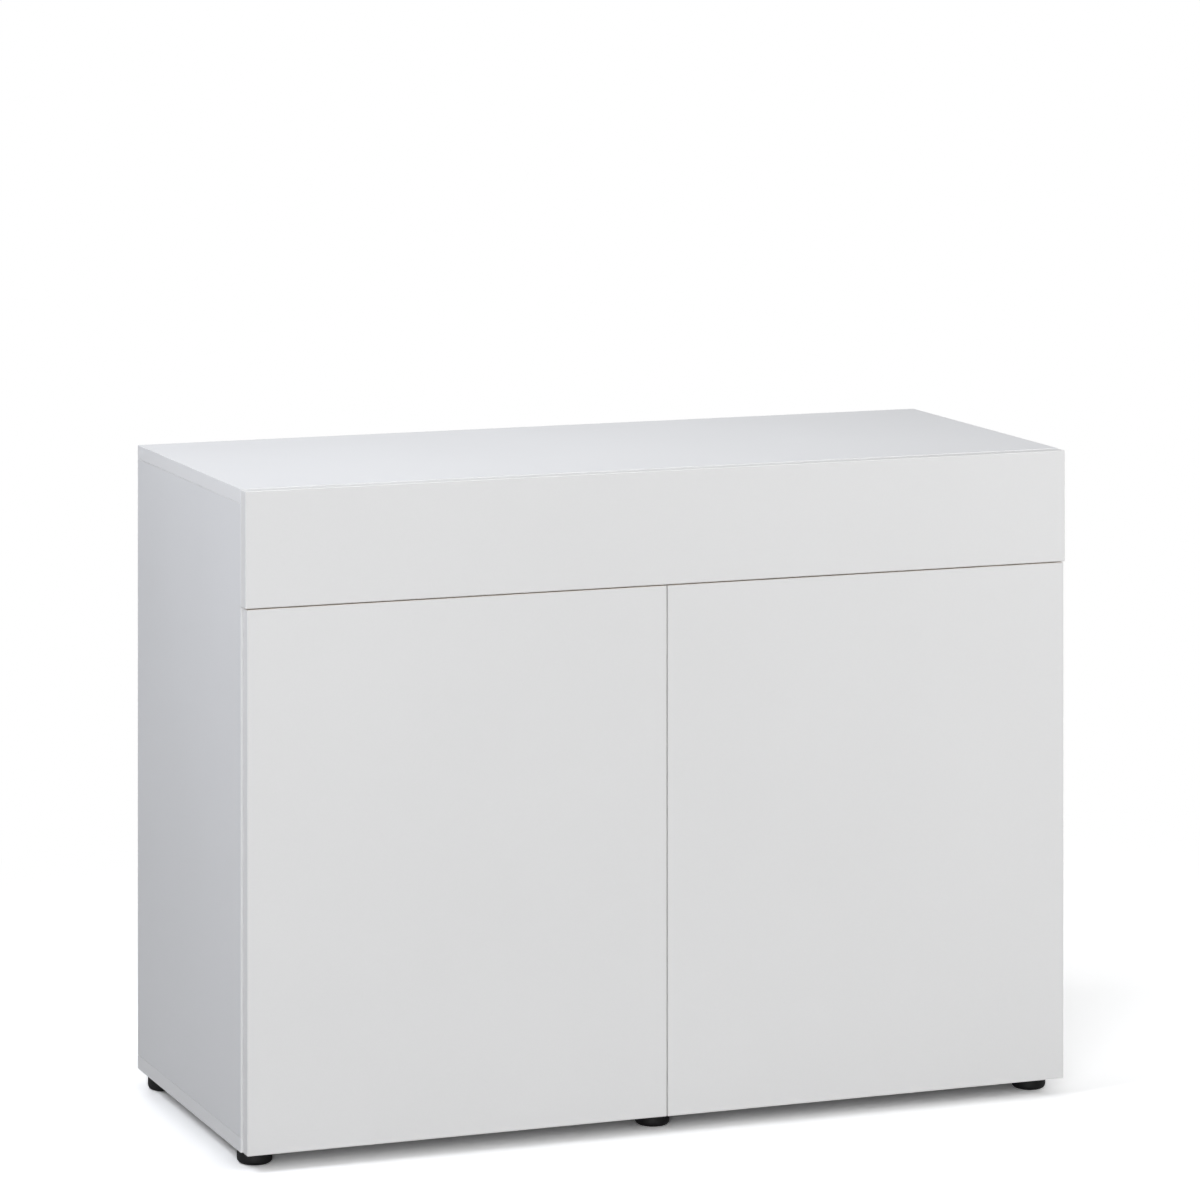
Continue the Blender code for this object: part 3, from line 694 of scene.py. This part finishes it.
# the room: an even part, and softer or brighter sides given by direction
direction = world_node("ShaderNodeTexCoord").outputs["Generated"]
split = world_node("ShaderNodeSeparateXYZ", i0=direction)
strength = world_node("ShaderNodeMath", operation="ADD", i0=ROOM["even"], i1=0.0).outputs[0]
for key, axis, sign in (("above", 2, 1.0), ("front", 1, -1.0), ("right", 0, 1.0), ("left", 0, -1.0), ("back", 1, 1.0)):
    lobe = world_node("ShaderNodeMath", operation="MAXIMUM", i0=world_node("ShaderNodeMath", operation="MULTIPLY", i0=split.outputs[axis], i1=sign).outputs[0], i1=0.0).outputs[0]
    strength = world_node("ShaderNodeMath", operation="MULTIPLY_ADD", i0=lobe, i1=ROOM[key], i2=strength).outputs[0]
seen = world_node("ShaderNodeLightPath").outputs["Is Camera Ray"]
lit = world_node("ShaderNodeBackground", i0=(0.985, 0.993, 1.0, 1.0), i1=strength)
shown = world_node("ShaderNodeBackground", i0=(1.0, 1.0, 1.0, 1.0), i1=BACKDROP)
both = world_node("ShaderNodeMixShader", i0=seen, i1=lit.outputs[0], i2=shown.outputs[0])
out = world_node("ShaderNodeOutputWorld", i0=both.outputs[0])


def area(name, at, look, size, power, colour=(1.0, 1.0, 1.0)):
    data = bpy.data.lights.new(name, "AREA")
    data.shape = "RECTANGLE"
    data.size, data.size_y = size
    data.energy = power
    data.color = colour
    made = bpy.data.objects.new(name, data)
    bpy.context.scene.collection.objects.link(made)
    made.location = at
    made.rotation_mode = "QUATERNION"
    made.rotation_quaternion = (Vector(look) - Vector(at)).to_track_quat("-Z", "Y")
    return made


for name, (at, look, size, power) in LAMPS.items():
    lamp = area(name, at, look, size, power, (0.97, 0.992, 1.05) if name == "side_high" else (1.0, 1.0, 1.0))
    lamp.visible_camera = False
    lamp.visible_glossy = name not in ("rear_low", "overhead")  # they would lie as streaks on the top board

view = bpy.data.cameras.new("camera")
camera = bpy.data.objects.new("camera", view)
bpy.context.scene.collection.objects.link(camera)
bpy.context.scene.camera = camera
view.sensor_width = 36.0
view.lens = 154.098
view.clip_start, view.clip_end = 0.1, 200.0
CAMERA_AT = (-2.27207, -5.60515, 1.56049)
SHIFT = (0.17120, -0.69761)
camera.location = CAMERA_AT
camera.rotation_mode = "QUATERNION"
heading = math.radians(19.7788)
camera.rotation_quaternion = Vector((math.sin(heading), math.cos(heading), 0.0)).to_track_quat("-Z", "Y")
# The lens is shifted, to keep uprights upright. The shift belongs to this standpoint only: anywhere else it is nought.
for index, (channel, amount) in enumerate((("shift_x", SHIFT[0]), ("shift_y", SHIFT[1]))):
    setattr(view, channel, amount)
    driver = view.driver_add(channel).driver
    driver.type = "SCRIPTED"
    for k, axis in enumerate("XYZ"):
        var = driver.variables.new()
        var.name = "abc"[k]
        var.type = "TRANSFORMS"
        var.targets[0].id = camera
        var.targets[0].transform_type = "LOC_" + axis
        var.targets[0].transform_space = "WORLD_SPACE"
    driver.expression = (
        f"{amount} if abs(a - {CAMERA_AT[0]}) + abs(b - {CAMERA_AT[1]}) + abs(c - {CAMERA_AT[2]}) < 0.001 else 0.0"
    )

scene = bpy.context.scene
scene.view_settings.view_transform = "Standard"
scene.view_settings.look = "None"
scene.view_settings.exposure = 0.0
scene.view_settings.gamma = 1.0

low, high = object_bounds()
